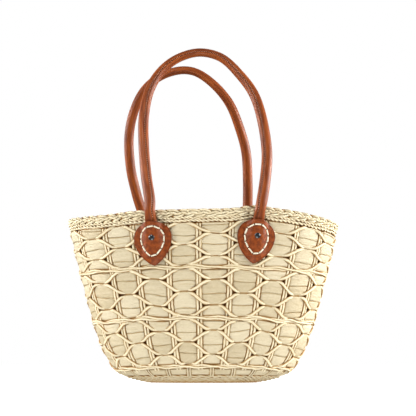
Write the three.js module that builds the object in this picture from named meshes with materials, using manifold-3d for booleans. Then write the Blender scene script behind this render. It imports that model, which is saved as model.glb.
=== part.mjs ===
// Straw basket bag: an oval woven husk basket with a plaited rim, and two round leather handles
// whose flattened ends lie under teardrop leather patches, each held by a rivet.
// Millimetres, +Z up. The front faces -Y and +X is to its right, seen from the front.
// The origin is on the floor, under the middle of the basket.

import * as THREE from 'three';
import { mergeVertices } from 'three/addons/utils/BufferGeometryUtils.js';
import Module from 'manifold-3d';

const wasm = await Module();
wasm.setup();

// Basket: overall size over the weave, and the wall
const rimHalfWidth = 176;
const rimHalfDepth = 80;
const basketHeight = 212;
const wallThickness = 6;
const pillowHeight = 2.5;
const floorThickness = 4;

// Weave: husk cells in columns, offset by half a cell from one column to the next
const columnCount = 20;
const columnStart = -0.0065;
const rowCount = 6;
const rimFollowRow = 4;
const sideDroop = 5;
const samplesPerColumn = 4;
const samplesPerRow = 4;
const insideRowStep = 2;

// Plaited rim
const plaitHeight = 15;
const plaitThickness = 9;
const plaitSquareness = 0.7;
const rimSag = 10;

// Handles: a round tube, flattened where it bends over the top and under the patches
const tubeDiameter = 13;
const handleHalfSpan = 75;
const handleRise = 208;
const handleTopDepth = 37;
const handleLeanPower = 1.3;

// Leather patches: a teardrop, widest at the rivet
const patchWidth = 46.4;
const patchAboveRivet = 19.8;
const patchBelowRivet = 34.6;
const patchTipPower = 1.6;
const patchThickness = 2.2;
const domeShoulder = 7;
const domeFlat = 0.62;
const domeClearance = 0.9;

// Rivets
const rivetHeadDiameter = 8.2;
const rivetHeadHeight = 2.3;
const rivetPostDiameter = 3;
const rivetWasherDiameter = 9.4;
const rivetWasherThickness = 1.2;

// Gap between pieces that touch
const seam = 0.3;

// Outline of the basket seen from the front and from the side: height as a share of
// basketHeight, half width and half depth as shares of those at the rim
const sections = [
  { height: 0.062, width: 0.626, depth: 0.594 },
  { height: 0.098, width: 0.664, depth: 0.638 },
  { height: 0.205, width: 0.737, depth: 0.75 },
  { height: 0.348, width: 0.8, depth: 0.831 },
  { height: 0.492, width: 0.851, depth: 0.881 },
  { height: 0.637, width: 0.899, depth: 0.925 },
  { height: 0.783, width: 0.946, depth: 0.963 },
  { height: 0.931, width: 0.989, depth: 0.994 },
  { height: 1, width: 1, depth: 1 },
];

// Rounded lower edge: spread as a share of the half sizes at the wall's foot, rise as a
// share of the foot's height
const baseEdge = [
  { spread: 0.585, rise: 0 },
  { spread: 0.7, rise: 0.1 },
  { spread: 0.85, rise: 0.37 },
  { spread: 0.94, rise: 0.65 },
  { spread: 1, rise: 1 },
];

// Height of the cord rows at the middle of the front, as shares of basketHeight
const cordRows = [
  { row: 0, height: 0.096 },
  { row: 2, height: 0.371 },
  { row: 4, height: 0.661 },
  { row: 6, height: 0.916 },
];

// Waves of the rim's top edge: place across as a share of the half width, lift as a share
// of rimSag
const rimWaves = [
  { across: -1, lift: -0.35 },
  { across: -0.85, lift: -0.4 },
  { across: -0.7, lift: -0.4 },
  { across: -0.5, lift: -0.15 },
  { across: -0.3, lift: -0.07 },
  { across: 0, lift: 0 },
  { across: 0.2, lift: 0.12 },
  { across: 0.36, lift: 0.5 },
  { across: 0.48, lift: 0.3 },
  { across: 0.6, lift: 0.1 },
  { across: 0.7, lift: -0.1 },
  { across: 0.8, lift: -0.36 },
  { across: 0.9, lift: -0.65 },
  { across: 1, lift: -1 },
];

// Handle ends: place along the patch, from its tip to past its top, as a share of the
// patch's length below or above the rivet; width and thickness as shares of tubeDiameter
const endSections = [
  { along: -0.8, wide: 0.5, thick: 0.2 },
  { along: -0.72, wide: 0.95, thick: 0.26 },
  { along: -0.4, wide: 1.26, thick: 0.28 },
  { along: 0, wide: 1.32, thick: 0.31 },
  { along: 0.5, wide: 1.24, thick: 0.4 },
  { along: 1, wide: 1.09, thick: 0.56 },
  { along: 1.65, wide: 1.02, thick: 0.9 },
];

// Free part of a handle: rise as a share of handleRise, width in the plane of the bend and
// thickness across it as shares of tubeDiameter
const tubeSections = [
  { rise: 0, wide: 1.06, thick: 1.02 },
  { rise: 0.4, wide: 1.02, thick: 1 },
  { rise: 0.75, wide: 0.97, thick: 1 },
  { rise: 1, wide: 0.82, thick: 1 },
];

// Centre line of each handle: place across as a share of handleHalfSpan, rise above
// basketHeight as a share of handleRise
const frontHandleLine = [
  { across: -0.873, rise: 0.045 },
  { across: -0.936, rise: 0.19 },
  { across: -0.99, rise: 0.395 },
  { across: -0.997, rise: 0.58 },
  { across: -0.902, rise: 0.76 },
  { across: -0.69, rise: 0.891 },
  { across: -0.405, rise: 0.972 },
  { across: -0.062, rise: 1.006 },
  { across: 0.3, rise: 0.97 },
  { across: 0.634, rise: 0.844 },
  { across: 0.85, rise: 0.72 },
  { across: 0.975, rise: 0.565 },
  { across: 1.05, rise: 0.34 },
  { across: 1.02, rise: 0.19 },
  { across: 0.957, rise: 0.045 },
];
const backHandleLine = [
  { across: -1.11, rise: 0.045 },
  { across: -1.225, rise: 0.19 },
  { across: -1.34, rise: 0.373 },
  { across: -1.366, rise: 0.579 },
  { across: -1.28, rise: 0.73 },
  { across: -1.113, rise: 0.856 },
  { across: -0.9, rise: 0.933 },
  { across: -0.652, rise: 0.978 },
  { across: -0.361, rise: 0.997 },
  { across: -0.12, rise: 0.98 },
  { across: 0.193, rise: 0.903 },
  { across: 0.47, rise: 0.785 },
  { across: 0.652, rise: 0.631 },
  { across: 0.772, rise: 0.476 },
  { across: 0.806, rise: 0.269 },
  { across: 0.805, rise: 0.045 },
];

// Rivet places: across as a share of handleHalfSpan, height as a share of basketHeight;
// tilt in degrees, positive where the patch's top leans towards +X
const fixings = {
  front_left: { side: -1, across: -0.821, height: 0.83, tilt: -4.5 },
  front_right: { side: -1, across: 0.859, height: 0.842, tilt: 7 },
  back_left: { side: 1, across: -1.04, height: 0.835, tilt: -9 },
  back_right: { side: 1, across: 0.8, height: 0.84, tilt: 1 },
};

// Rivet head: radius and height as shares of those of the head
const rivetDome = [
  { out: 1, up: 0.3 },
  { out: 0.75, up: 0.78 },
  { out: 0.4, up: 0.96 },
  { out: 0, up: 1 },
];

// Facets of the pieces that aren't the wall
const baseSides = 34;
const plaitSides = 8;
const tubeSides = 10;
const stepsPerStation = 2;
const patchSides = 20;
const patchRings = [0.36, 0.7, 1];
const rivetSides = 8;
const arcSteps = 720;

// Value of a table's column at a key: smooth between rows, straight past the ends
function tableValue(rows, keyName, valueName, key) {
  const last = rows.length - 1;
  let low = 0;
  while (low < last - 1 && rows[low + 1][keyName] < key) low += 1;
  const slopeAt = (index) => {
    const before = rows[Math.max(index - 1, 0)];
    const after = rows[Math.min(index + 1, last)];
    return (after[valueName] - before[valueName]) / (after[keyName] - before[keyName]);
  };
  const start = rows[low];
  const end = rows[low + 1];
  const span = end[keyName] - start[keyName];
  const share = (key - start[keyName]) / span;
  if (share < 0) return start[valueName] + slopeAt(low) * (key - start[keyName]);
  if (share > 1) return end[valueName] + slopeAt(low + 1) * (key - end[keyName]);
  const square = share * share;
  const cube = square * share;
  return (2 * cube - 3 * square + 1) * start[valueName]
    + (cube - 2 * square + share) * span * slopeAt(low)
    + (3 * square - 2 * cube) * end[valueName]
    + (cube - square) * span * slopeAt(low + 1);
}

function smoothStep(low, high, value) {
  return THREE.MathUtils.smoothstep(value, low, high);
}

// Closed mesh through loops of points. Each loop turns right-handed about the way the loops
// follow each other. The last loop joins the first, or both ends are closed by a fan.
function loftGeometry(loops, joinsEnds) {
  const count = loops[0].length;
  const positions = loops.flat().flatMap((point) => [point.x, point.y, point.z]);
  const triangles = [];
  const strips = joinsEnds ? loops.length : loops.length - 1;
  for (let strip = 0; strip < strips; strip += 1) {
    const lower = strip * count;
    const upper = ((strip + 1) % loops.length) * count;
    for (let side = 0; side < count; side += 1) {
      const next = (side + 1) % count;
      triangles.push(lower + side, lower + next, upper + next);
      triangles.push(lower + side, upper + next, upper + side);
    }
  }
  if (!joinsEnds) {
    const addFan = (loop, offset, flipped) => {
      const middle = loop.reduce((sum, point) => sum.add(point), new THREE.Vector3());
      middle.divideScalar(count);
      const centre = positions.length / 3;
      positions.push(middle.x, middle.y, middle.z);
      for (let side = 0; side < count; side += 1) {
        const next = (side + 1) % count;
        const first = flipped ? next : side;
        const second = flipped ? side : next;
        triangles.push(centre, offset + first, offset + second);
      }
    };
    addFan(loops[0], 0, true);
    addFan(loops[loops.length - 1], (loops.length - 1) * count, false);
  }
  const geometry = new THREE.BufferGeometry();
  geometry.setAttribute('position', new THREE.Float32BufferAttribute(positions, 3));
  geometry.setIndex(triangles);
  return geometry;
}

function toSolid(geometry) {
  const bare = geometry.clone();
  bare.deleteAttribute('normal');
  bare.deleteAttribute('uv');
  const merged = mergeVertices(bare);
  return new wasm.Manifold(new wasm.Mesh({
    numProp: 3,
    vertProperties: new Float32Array(merged.getAttribute('position').array),
    triVerts: new Uint32Array(merged.getIndex().array),
  }));
}

function cutAway(geometry, cutters) {
  const solid = cutters.reduce((rest, cutter) => rest.subtract(toSolid(cutter)), toSolid(geometry));
  const mesh = solid.getMesh();
  const result = new THREE.BufferGeometry();
  result.setAttribute('position', new THREE.Float32BufferAttribute(mesh.vertProperties, 3));
  result.setIndex(Array.from(mesh.triVerts));
  return result;
}

// Turn about the basket at equal shares of the way round, from the middle of the front
function makeTurnTable() {
  const middle = sections[Math.floor(sections.length / 2)];
  const width = rimHalfWidth * middle.width;
  const depth = rimHalfDepth * middle.depth;
  const lengths = [0];
  for (let step = 0; step < arcSteps; step += 1) {
    const turn = 2 * Math.PI * (step + 0.5) / arcSteps;
    const speed = Math.hypot(width * Math.cos(turn), depth * Math.sin(turn));
    lengths.push(lengths[step] + speed);
  }
  const whole = lengths[arcSteps];
  return lengths.map((length, step) => ({ share: length / whole, turn: 2 * Math.PI * step / arcSteps }));
}

const turnTable = makeTurnTable();

function turnAt(share) {
  const wrapped = share - Math.floor(share);
  let low = 0;
  let high = arcSteps;
  while (high - low > 1) {
    const middle = Math.floor((low + high) / 2);
    if (turnTable[middle].share <= wrapped) low = middle;
    else high = middle;
  }
  const part = (wrapped - turnTable[low].share) / (turnTable[high].share - turnTable[low].share);
  return THREE.MathUtils.lerp(turnTable[low].turn, turnTable[high].turn, part);
}

// Outermost face of the weave

function halfWidthAt(height) {
  return rimHalfWidth * tableValue(sections, 'height', 'width', height / basketHeight);
}

function halfDepthAt(height) {
  return rimHalfDepth * tableValue(sections, 'height', 'depth', height / basketHeight);
}

function rimLift(turn) {
  return rimSag * tableValue(rimWaves, 'across', 'lift', Math.sin(turn));
}

function rimTopAt(turn) {
  return basketHeight + rimLift(turn);
}

function rowHeightAt(row, turn) {
  const level = basketHeight * tableValue(cordRows, 'row', 'height', row);
  const droop = -sideDroop * Math.sin(turn) ** 2;
  return level + THREE.MathUtils.lerp(droop, rimLift(turn), smoothStep(rimFollowRow, rowCount, row));
}

function wallTopAt(turn) {
  return rimTopAt(turn) - plaitHeight - seam;
}

function facePoint(height, turn) {
  const x = halfWidthAt(height) * Math.sin(turn);
  const y = -halfDepthAt(height) * Math.cos(turn);
  return new THREE.Vector3(x, y, height);
}

function faceNormal(height, turn) {
  const reach = 0.01;
  const along = facePoint(height, turn + reach).sub(facePoint(height, turn - reach));
  const up = facePoint(height + reach, turn).sub(facePoint(height - reach, turn));
  return along.cross(up).normalize();
}

function offsetPoint(height, turn, offset) {
  return facePoint(height, turn).addScaledVector(faceNormal(height, turn), offset);
}

// The same at a height that the offset leaves as it is, for edges that meet another piece
function levelPoint(height, turn, offset) {
  return offsetPoint(height, turn, offset).setZ(height);
}

// Share of pillowHeight by which a husk cell stands out
function pillowAt(row, share) {
  const column = (share - columnStart) * columnCount;
  const acrossCell = column - Math.floor(column);
  const stagger = Math.floor(column) % 2 === 0 ? 0.5 : 0;
  const upCell = row + stagger - Math.floor(row + stagger);
  const rise = Math.sin(Math.PI * acrossCell) * Math.sin(Math.PI * upCell);
  const edge = Math.min(1, 2 * Math.min(row, rowCount - row));
  return Math.sqrt(Math.max(rise, 0)) * Math.max(edge, 0);
}

function makeWall() {
  const around = columnCount * samplesPerColumn;
  const shares = Array.from({ length: around }, (_, index) => columnStart + index / around);
  const loopOf = (placePoint, heightOf, offsetOf) => shares.map((share) => {
    const turn = turnAt(share);
    return placePoint(heightOf(turn), turn, offsetOf(share));
  });
  const outside = [loopOf(levelPoint, (turn) => rowHeightAt(0, turn), () => -pillowHeight)];
  for (let step = 1; step <= rowCount * samplesPerRow; step += 1) {
    const row = step / samplesPerRow;
    const relief = (share) => pillowHeight * (pillowAt(row, share) - 1);
    outside.push(loopOf(offsetPoint, (turn) => rowHeightAt(row, turn), relief));
  }
  outside.push(loopOf(levelPoint, wallTopAt, () => -pillowHeight));
  const inside = [loopOf(levelPoint, (turn) => rowHeightAt(0, turn), () => -wallThickness)];
  for (let row = insideRowStep; row < rowCount; row += insideRowStep) {
    inside.push(loopOf(offsetPoint, (turn) => rowHeightAt(row, turn), () => -wallThickness));
  }
  inside.push(loopOf(levelPoint, wallTopAt, () => -wallThickness));
  return loftGeometry([...outside, ...inside.reverse()], true);
}

function makeBase() {
  const turns = Array.from({ length: baseSides }, (_, index) => turnAt(index / baseSides));
  const loopAt = (edge, inset, lift) => turns.map((turn) => {
    const top = rowHeightAt(0, turn) - seam;
    const width = halfWidthAt(top) * edge.spread - inset;
    const depth = halfDepthAt(top) * edge.spread - inset;
    const height = top * edge.rise + lift * (1 - edge.rise);
    return new THREE.Vector3(width * Math.sin(turn), -depth * Math.cos(turn), height);
  });
  const outside = baseEdge.map((edge) => loopAt(edge, pillowHeight * edge.rise, 0));
  const inside = baseEdge.map((edge) => loopAt(edge, wallThickness, floorThickness));
  return loftGeometry([...outside, ...inside.reverse()], false);
}

// Coordinate on a rounded outline, drawn towards a square's
function squared(coordinate) {
  return Math.sign(coordinate) * Math.abs(coordinate) ** plaitSquareness;
}

function makePlait() {
  const around = columnCount * samplesPerColumn;
  const turns = Array.from({ length: around }, (_, index) => turnAt(index / around));
  const loops = [];
  for (let side = 0; side < plaitSides; side += 1) {
    const angle = 2 * Math.PI * (side + 0.5) / plaitSides - Math.PI / 2;
    const outwards = squared(Math.cos(angle));
    const upwards = squared(Math.sin(angle));
    loops.push(turns.map((turn) => {
      const middle = rimTopAt(turn) - plaitHeight / 2;
      const offset = plaitThickness / 2 * (outwards - 1);
      return levelPoint(middle, turn, offset).setZ(middle + plaitHeight / 2 * upwards);
    }));
  }
  return loftGeometry(loops, true);
}

// Places on a patch: right and up are seen from outside, from the rivet's centre

function patchPoint(fixing, right, up, offset) {
  const tilt = THREE.MathUtils.degToRad(fixing.tilt) * -fixing.side;
  const acrossSeen = right * Math.cos(tilt) + up * Math.sin(tilt);
  const height = basketHeight * fixing.height + up * Math.cos(tilt) - right * Math.sin(tilt);
  const x = handleHalfSpan * fixing.across - fixing.side * acrossSeen;
  const turn = Math.asin(x / halfWidthAt(height));
  return offsetPoint(height, fixing.side < 0 ? turn : Math.PI - turn, offset);
}

function patchNormal(fixing, up) {
  return patchPoint(fixing, 0, up, 1).sub(patchPoint(fixing, 0, up, 0)).normalize();
}

function alongPatch(share) {
  return share * (share < 0 ? patchBelowRivet : patchAboveRivet);
}

// Width or thickness of the flattened handle end at a place under the patch
function endSize(column, up) {
  const share = up / (up < 0 ? patchBelowRivet : patchAboveRivet);
  return tubeDiameter * tableValue(endSections, 'along', column, share);
}

// Height of the patch's underside over the weave, domed over the handle end
function undersideAt(right, up) {
  const endOfTube = alongPatch(endSections[0].along);
  const nearest = Math.max(up, endOfTube);
  const halfWidth = endSize('wide', nearest) / 2;
  const sideways = 1 - smoothStep(domeFlat * halfWidth, halfWidth + domeShoulder, Math.abs(right));
  const lengthways = smoothStep(endOfTube - domeShoulder, endOfTube + seam, up);
  return seam + (endSize('thick', nearest) + domeClearance) * sideways * lengthways;
}

function patchOutline(angle, share) {
  const cosine = Math.cos(angle);
  const sine = Math.sin(angle);
  const power = sine < 0 ? patchTipPower : 1;
  const right = Math.sign(cosine) * Math.abs(cosine) ** power * patchWidth / 2;
  return { right: share * right, up: share * alongPatch(sine) };
}

function makePatch(fixing) {
  const loopAt = (share, lift) => Array.from({ length: patchSides }, (_, side) => {
    const place = patchOutline(2 * Math.PI * side / patchSides, share);
    return patchPoint(fixing, place.right, place.up, undersideAt(place.right, place.up) + lift);
  });
  const underside = patchRings.map((share) => loopAt(share, 0));
  const topside = patchRings.map((share) => loopAt(share, patchThickness)).reverse();
  return cutAway(loftGeometry([...underside, ...topside], false), [makeRivetHole(fixing)]);
}

// Centre line and section of a handle, from one flattened end to the other

function endStation(fixing, row) {
  const up = alongPatch(row.along);
  const thick = tubeDiameter * row.thick;
  return {
    point: patchPoint(fixing, 0, up, seam + thick / 2),
    outwards: patchNormal(fixing, up),
    wide: tubeDiameter * row.wide,
    thick,
  };
}

function freeStation(side, footDepth, row) {
  const share = Math.max(row.rise, 0) ** handleLeanPower;
  const depth = THREE.MathUtils.lerp(footDepth, handleTopDepth, share);
  const height = basketHeight + handleRise * row.rise;
  return {
    point: new THREE.Vector3(handleHalfSpan * row.across, side * depth, height),
    outwards: new THREE.Vector3(0, side, 0),
    wide: tubeDiameter * tableValue(tubeSections, 'rise', 'wide', row.rise),
    thick: tubeDiameter * tableValue(tubeSections, 'rise', 'thick', row.rise),
  };
}

function handleStations(line, left, right) {
  const leftEnd = endSections.map((row) => endStation(left, row));
  const rightEnd = endSections.map((row) => endStation(right, row)).reverse();
  const leftDepth = Math.abs(leftEnd[leftEnd.length - 1].point.y);
  const rightDepth = Math.abs(rightEnd[0].point.y);
  const free = line.map((row, index) => {
    const footDepth = THREE.MathUtils.lerp(leftDepth, rightDepth, index / (line.length - 1));
    return freeStation(left.side, footDepth, row);
  });
  return [...leftEnd, ...free, ...rightEnd];
}

function makeHandle(line, left, right) {
  const stations = handleStations(line, left, right);
  const curve = new THREE.CatmullRomCurve3(stations.map((station) => station.point));
  const steps = (stations.length - 1) * stepsPerStation;
  const loops = [];
  for (let step = 0; step <= steps; step += 1) {
    const index = Math.min(Math.floor(step / stepsPerStation), stations.length - 2);
    const part = step / stepsPerStation - index;
    const [before, after] = [stations[index], stations[index + 1]];
    const wide = THREE.MathUtils.lerp(before.wide, after.wide, part);
    const thick = THREE.MathUtils.lerp(before.thick, after.thick, part);
    const place = curve.getPoint(step / steps);
    const tangent = curve.getTangent(step / steps);
    const across = before.outwards.clone().lerp(after.outwards, part);
    across.addScaledVector(tangent, -across.dot(tangent)).normalize();
    const inPlane = new THREE.Vector3().crossVectors(across, tangent);
    loops.push(Array.from({ length: tubeSides }, (_, side) => {
      const angle = 2 * Math.PI * side / tubeSides;
      return place.clone()
        .addScaledVector(inPlane, Math.cos(angle) * wide / 2)
        .addScaledVector(across, Math.sin(angle) * thick / 2);
    }));
  }
  return cutAway(loftGeometry(loops, false), [makeRivetHole(left), makeRivetHole(right)]);
}

// A rivet stands along the weave's normal, from a washer inside to a domed head on the patch

function rivetSeatHeight() {
  return undersideAt(0, 0) + patchThickness + seam;
}

function placeOnFixing(geometry, fixing) {
  const upright = new THREE.Vector3(0, 1, 0);
  const turned = new THREE.Quaternion().setFromUnitVectors(upright, patchNormal(fixing, 0));
  const place = patchPoint(fixing, 0, 0, 0);
  return geometry.applyQuaternion(turned).translate(place.x, place.y, place.z);
}

function turnedAlongRivet(outline, fixing) {
  const profile = outline.map(([radius, height]) => new THREE.Vector2(radius, height));
  return placeOnFixing(new THREE.LatheGeometry(profile, rivetSides), fixing);
}

// Room for a rivet: a hole for its post, and flat seats for its head and its washer
function makeRivetHole(fixing) {
  const seat = rivetSeatHeight() - seam;
  const inside = -wallThickness;
  const reach = seat + wallThickness + plaitThickness;
  const post = rivetPostDiameter / 2 + seam;
  const head = rivetHeadDiameter / 2 + seam;
  const washer = rivetWasherDiameter / 2 + seam;
  const outline = [
    [0, -reach],
    [washer, -reach],
    [washer, inside],
    [post, inside],
    [post, seat],
    [head, seat],
    [head, reach],
    [0, reach],
  ];
  return turnedAlongRivet(outline, fixing);
}

function makeRivet(fixing) {
  const seat = rivetSeatHeight();
  const inside = -wallThickness - seam;
  const post = rivetPostDiameter / 2;
  const head = rivetHeadDiameter / 2;
  const washer = rivetWasherDiameter / 2;
  const outline = [
    [0, inside - rivetWasherThickness],
    [washer, inside - rivetWasherThickness],
    [washer, inside],
    [post, inside],
    [post, seat],
    [head, seat],
    ...rivetDome.map((row) => [head * row.out, seat + rivetHeadHeight * row.up]),
  ];
  return turnedAlongRivet(outline, fixing);
}

const husk = new THREE.MeshStandardMaterial({ color: 0xd7c49d, roughness: 0.75, metalness: 0 });
const plaitedHusk = new THREE.MeshStandardMaterial({ color: 0xdbc9a1, roughness: 0.7, metalness: 0 });
const tanLeather = new THREE.MeshStandardMaterial({ color: 0xa56649, roughness: 0.42, metalness: 0 });
const patchLeather = new THREE.MeshStandardMaterial({ color: 0x945a3a, roughness: 0.5, metalness: 0 });
const darkSteel = new THREE.MeshStandardMaterial({ color: 0x2e3236, roughness: 0.25, metalness: 1 });

const bag = new THREE.Group();

function addPiece(name, geometry, material) {
  const piece = new THREE.Mesh(geometry, material);
  piece.name = name;
  bag.add(piece);
}

const allHoles = Object.values(fixings).map(makeRivetHole);
addPiece('basket_base', makeBase(), husk);
addPiece('basket_wall', cutAway(makeWall(), allHoles), husk);
addPiece('rim_plait', makePlait(), plaitedHusk);
addPiece('handle_front', makeHandle(frontHandleLine, fixings.front_left, fixings.front_right), tanLeather);
addPiece('handle_back', makeHandle(backHandleLine, fixings.back_left, fixings.back_right), tanLeather);
for (const [place, fixing] of Object.entries(fixings)) {
  addPiece(`patch_${place}`, makePatch(fixing), patchLeather);
  addPiece(`rivet_${place}`, makeRivet(fixing), darkSteel);
}

export default bag;
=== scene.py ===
# Straw basket bag: husk cells, strands, plaited rim, stitched leather handles and patches.
import math
import bpy
import numpy as np
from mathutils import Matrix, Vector


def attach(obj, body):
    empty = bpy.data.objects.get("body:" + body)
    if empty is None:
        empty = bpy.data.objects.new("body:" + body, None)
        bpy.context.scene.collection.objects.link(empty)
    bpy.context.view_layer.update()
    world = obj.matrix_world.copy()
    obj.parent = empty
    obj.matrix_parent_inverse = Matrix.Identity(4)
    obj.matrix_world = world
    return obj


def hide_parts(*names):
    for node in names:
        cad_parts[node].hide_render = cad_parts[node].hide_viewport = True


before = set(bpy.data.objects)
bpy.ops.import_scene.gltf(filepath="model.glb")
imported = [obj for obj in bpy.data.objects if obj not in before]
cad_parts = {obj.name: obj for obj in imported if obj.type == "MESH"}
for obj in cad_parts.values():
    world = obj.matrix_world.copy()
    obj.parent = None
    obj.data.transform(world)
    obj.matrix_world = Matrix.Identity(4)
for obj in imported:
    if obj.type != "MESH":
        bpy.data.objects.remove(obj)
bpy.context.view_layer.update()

MM = 0.001
TURN = 2 * math.pi

# Basket and weave
RIM_HALF_WIDTH = 176 * MM
RIM_HALF_DEPTH = 80 * MM
BASKET_HEIGHT = 212 * MM
WALL_THICKNESS = 6 * MM
FLOOR_THICKNESS = 4 * MM
COLUMNS = 20
COLUMN_START = -0.0065
ROWS = 6
RIM_FOLLOW_ROW = 4
SIDE_DROOP = 5 * MM
RIM_SAG = 10 * MM
SEAM = 0.3 * MM

# Height as a share of BASKET_HEIGHT, half width and half depth as shares of those at the rim
SECTIONS = np.array([
    (0.062, 0.626, 0.594),
    (0.098, 0.664, 0.638),
    (0.205, 0.737, 0.75),
    (0.348, 0.8, 0.831),
    (0.492, 0.851, 0.881),
    (0.637, 0.899, 0.925),
    (0.783, 0.946, 0.963),
    (0.931, 0.989, 0.994),
    (1, 1, 1),
])

# Lower edge: share of the way down it, spread as a share of the half sizes at the wall's
# foot, rise as a share of the foot's height
BASE_EDGE = np.array([
    (0, 1, 1),
    (0.25, 0.94, 0.65),
    (0.49, 0.85, 0.37),
    (0.8, 0.7, 0.1),
    (1, 0.585, 0),
])

# Cord row, height at the middle of the front as a share of BASKET_HEIGHT
CORD_ROWS = np.array([
    (0, 0.096),
    (2, 0.371),
    (4, 0.661),
    (6, 0.916),
])

# Place across as a share of the half width, lift of the rim as a share of RIM_SAG
RIM_WAVES = np.array([
    (-1, -0.35),
    (-0.85, -0.4),
    (-0.7, -0.4),
    (-0.5, -0.15),
    (-0.3, -0.07),
    (0, 0),
    (0.2, 0.12),
    (0.36, 0.5),
    (0.48, 0.3),
    (0.6, 0.1),
    (0.7, -0.1),
    (0.8, -0.36),
    (0.9, -0.65),
    (1, -1),
])

# Handles and patches
TUBE_DIAMETER = 13 * MM
HANDLE_HALF_SPAN = 75 * MM
HANDLE_RISE = 208 * MM
HANDLE_TOP_DEPTH = 37 * MM
HANDLE_LEAN_POWER = 1.3
PATCH_WIDTH = 46.4 * MM
PATCH_ABOVE_RIVET = 19.8 * MM
PATCH_BELOW_RIVET = 34.6 * MM
PATCH_TIP_POWER = 1.6
PATCH_THICKNESS = 2.2 * MM
DOME_SHOULDER = 7 * MM
DOME_FLAT = 0.62
DOME_CLEARANCE = 0.9 * MM

# Handle ends: place along the patch as a share of its length below or above the rivet,
# width and thickness as shares of TUBE_DIAMETER
END_SECTIONS = np.array([
    (-0.8, 0.5, 0.2),
    (-0.72, 0.95, 0.26),
    (-0.4, 1.26, 0.28),
    (0, 1.32, 0.31),
    (0.5, 1.24, 0.4),
    (1, 1.09, 0.56),
    (1.65, 1.02, 0.9),
])

# Free part of a handle: rise as a share of HANDLE_RISE, width and thickness as shares of
# TUBE_DIAMETER
TUBE_SECTIONS = np.array([
    (0, 1.06, 1.02),
    (0.4, 1.02, 1),
    (0.75, 0.97, 1),
    (1, 0.82, 1),
])

# Centre lines: place across as a share of HANDLE_HALF_SPAN, rise as a share of HANDLE_RISE
FRONT_HANDLE_LINE = [
    (-0.873, 0.045),
    (-0.936, 0.19),
    (-0.99, 0.395),
    (-0.997, 0.58),
    (-0.902, 0.76),
    (-0.69, 0.891),
    (-0.405, 0.972),
    (-0.062, 1.006),
    (0.3, 0.97),
    (0.634, 0.844),
    (0.85, 0.72),
    (0.975, 0.565),
    (1.05, 0.34),
    (1.02, 0.19),
    (0.957, 0.045),
]
BACK_HANDLE_LINE = [
    (-1.11, 0.045),
    (-1.225, 0.19),
    (-1.34, 0.373),
    (-1.366, 0.579),
    (-1.28, 0.73),
    (-1.113, 0.856),
    (-0.9, 0.933),
    (-0.652, 0.978),
    (-0.361, 0.997),
    (-0.12, 0.98),
    (0.193, 0.903),
    (0.47, 0.785),
    (0.652, 0.631),
    (0.772, 0.476),
    (0.806, 0.269),
    (0.805, 0.045),
]

# Rivet places: across as a share of HANDLE_HALF_SPAN, height as a share of BASKET_HEIGHT
FIXINGS = {
    "front_left": {"side": -1, "across": -0.821, "height": 0.83, "tilt": -4.5},
    "front_right": {"side": -1, "across": 0.859, "height": 0.842, "tilt": 7},
    "back_left": {"side": 1, "across": -1.04, "height": 0.835, "tilt": -9},
    "back_right": {"side": 1, "across": 0.8, "height": 0.84, "tilt": 1},
}

# Handle seam: its turn from the face at the handle's feet and at its top, and the angles of the
# mesh's points near it. Its widths and depths are in radians and as shares of the half size.
SEAM_ANGLES = (math.radians(32), math.radians(4))
SEAM_OFFSETS = np.array([-0.3, -0.2, -0.13, -0.07, 0, 0.07, 0.13, 0.2, 0.3])
GROOVE_WIDTH = 0.14
GROOVE_DEPTH = 0.1
LIP_PLACE = 0.26
LIP_WIDTH = 0.1
LIP_HEIGHT = 0.02

# Seam stitches: their lifts over the tube from end to end, how much of the pitch one covers,
# and the share of the handle's length before the first
STITCH_PITCH = 2.5 * MM
SEAM_STITCH_HALF = (0.5 * MM, 0.45 * MM)
SEAM_STITCH_LIFTS = np.array([-0.7, -0.2, -0.1, -0.2, -0.7]) * MM
SEAM_STITCH_SHARE = 0.45
SEAM_START = 0.085

# Stitches of a patch: where they run as a share of the way to its edge, and their number
STITCH_SHARE = 0.62
STITCH_STRETCH = 0.32
STITCHES = 12
FIRST_STITCH = 0.2
THREAD_HALF = (0.95 * MM, 0.8 * MM)
THREAD_LIFTS = (-1.1 * MM, 0.3 * MM)

# Relief of a patch: the rounding of its edge as shares of its reach and of its thickness, the
# channel and the holes of its stitches, and its pad round the rivet
EDGE_ROUND = 0.045
EDGE_DROP = 0.45
CHANNEL_WIDTH = 0.05
CHANNEL_DEPTH = 0.75 * MM
HOLE_RADIUS = 1.0 * MM
HOLE_DEPTH = 1.0 * MM
PATCH_PAD = 1.1 * MM

# Rivets
RIVET_HEAD_RADIUS = 4.1 * MM
RIVET_HEAD_HEIGHT = 2.3 * MM
RIVET_WASHER_RADIUS = 4.7 * MM
RIVET_WASHER_THICKNESS = 1.2 * MM
RIVET_POST_RADIUS = 1.5 * MM
RIVET_TIP = 0.01 * MM
DOME_SHARE = 0.93
DOME_FOOT = 0.6 * MM

# Weave: depths under its outermost face. An offset is a height over that face.
FLOOR_DEPTH = 3.7 * MM
CREST_DEPTH = 0.6 * MM
CREVICE_START = 1.8 * MM
CREVICE_END = 3.8 * MM

# How far the weave drifts from an even pattern, in columns and in rows, and a strand in rows
COLUMN_DRIFT_REACH = 0.035
ROW_DRIFT_REACH = 0.03
WANDER = 0.012

# Husk cells: heights and widths in rows, flanks as distances from the column's border, bow of
# the faces, and depths of their splits and of the dents under the twined cords
WALL_ROWS = (-0.12, ROWS + 0.42)
TWINED_ROWS = (0, 2, 4)
CELL_HALF_HEIGHT = 0.19
CELL_CROWN = 0.095
CELL_FLANK = (2.8 * MM, 4.7 * MM)
CELL_BOW = 0.8 * MM
SPLIT_STEP = 0.45 * MM
SPLIT_DEPTH = 0.8 * MM
SPLIT_WIDTH = 0.022
SMALL_SPLIT_DEPTH = 0.4 * MM
SMALL_SPLIT_WIDTH = 0.018
CORD_DENT = 1.9 * MM
CORD_DENT_WIDTH = 0.1

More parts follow.
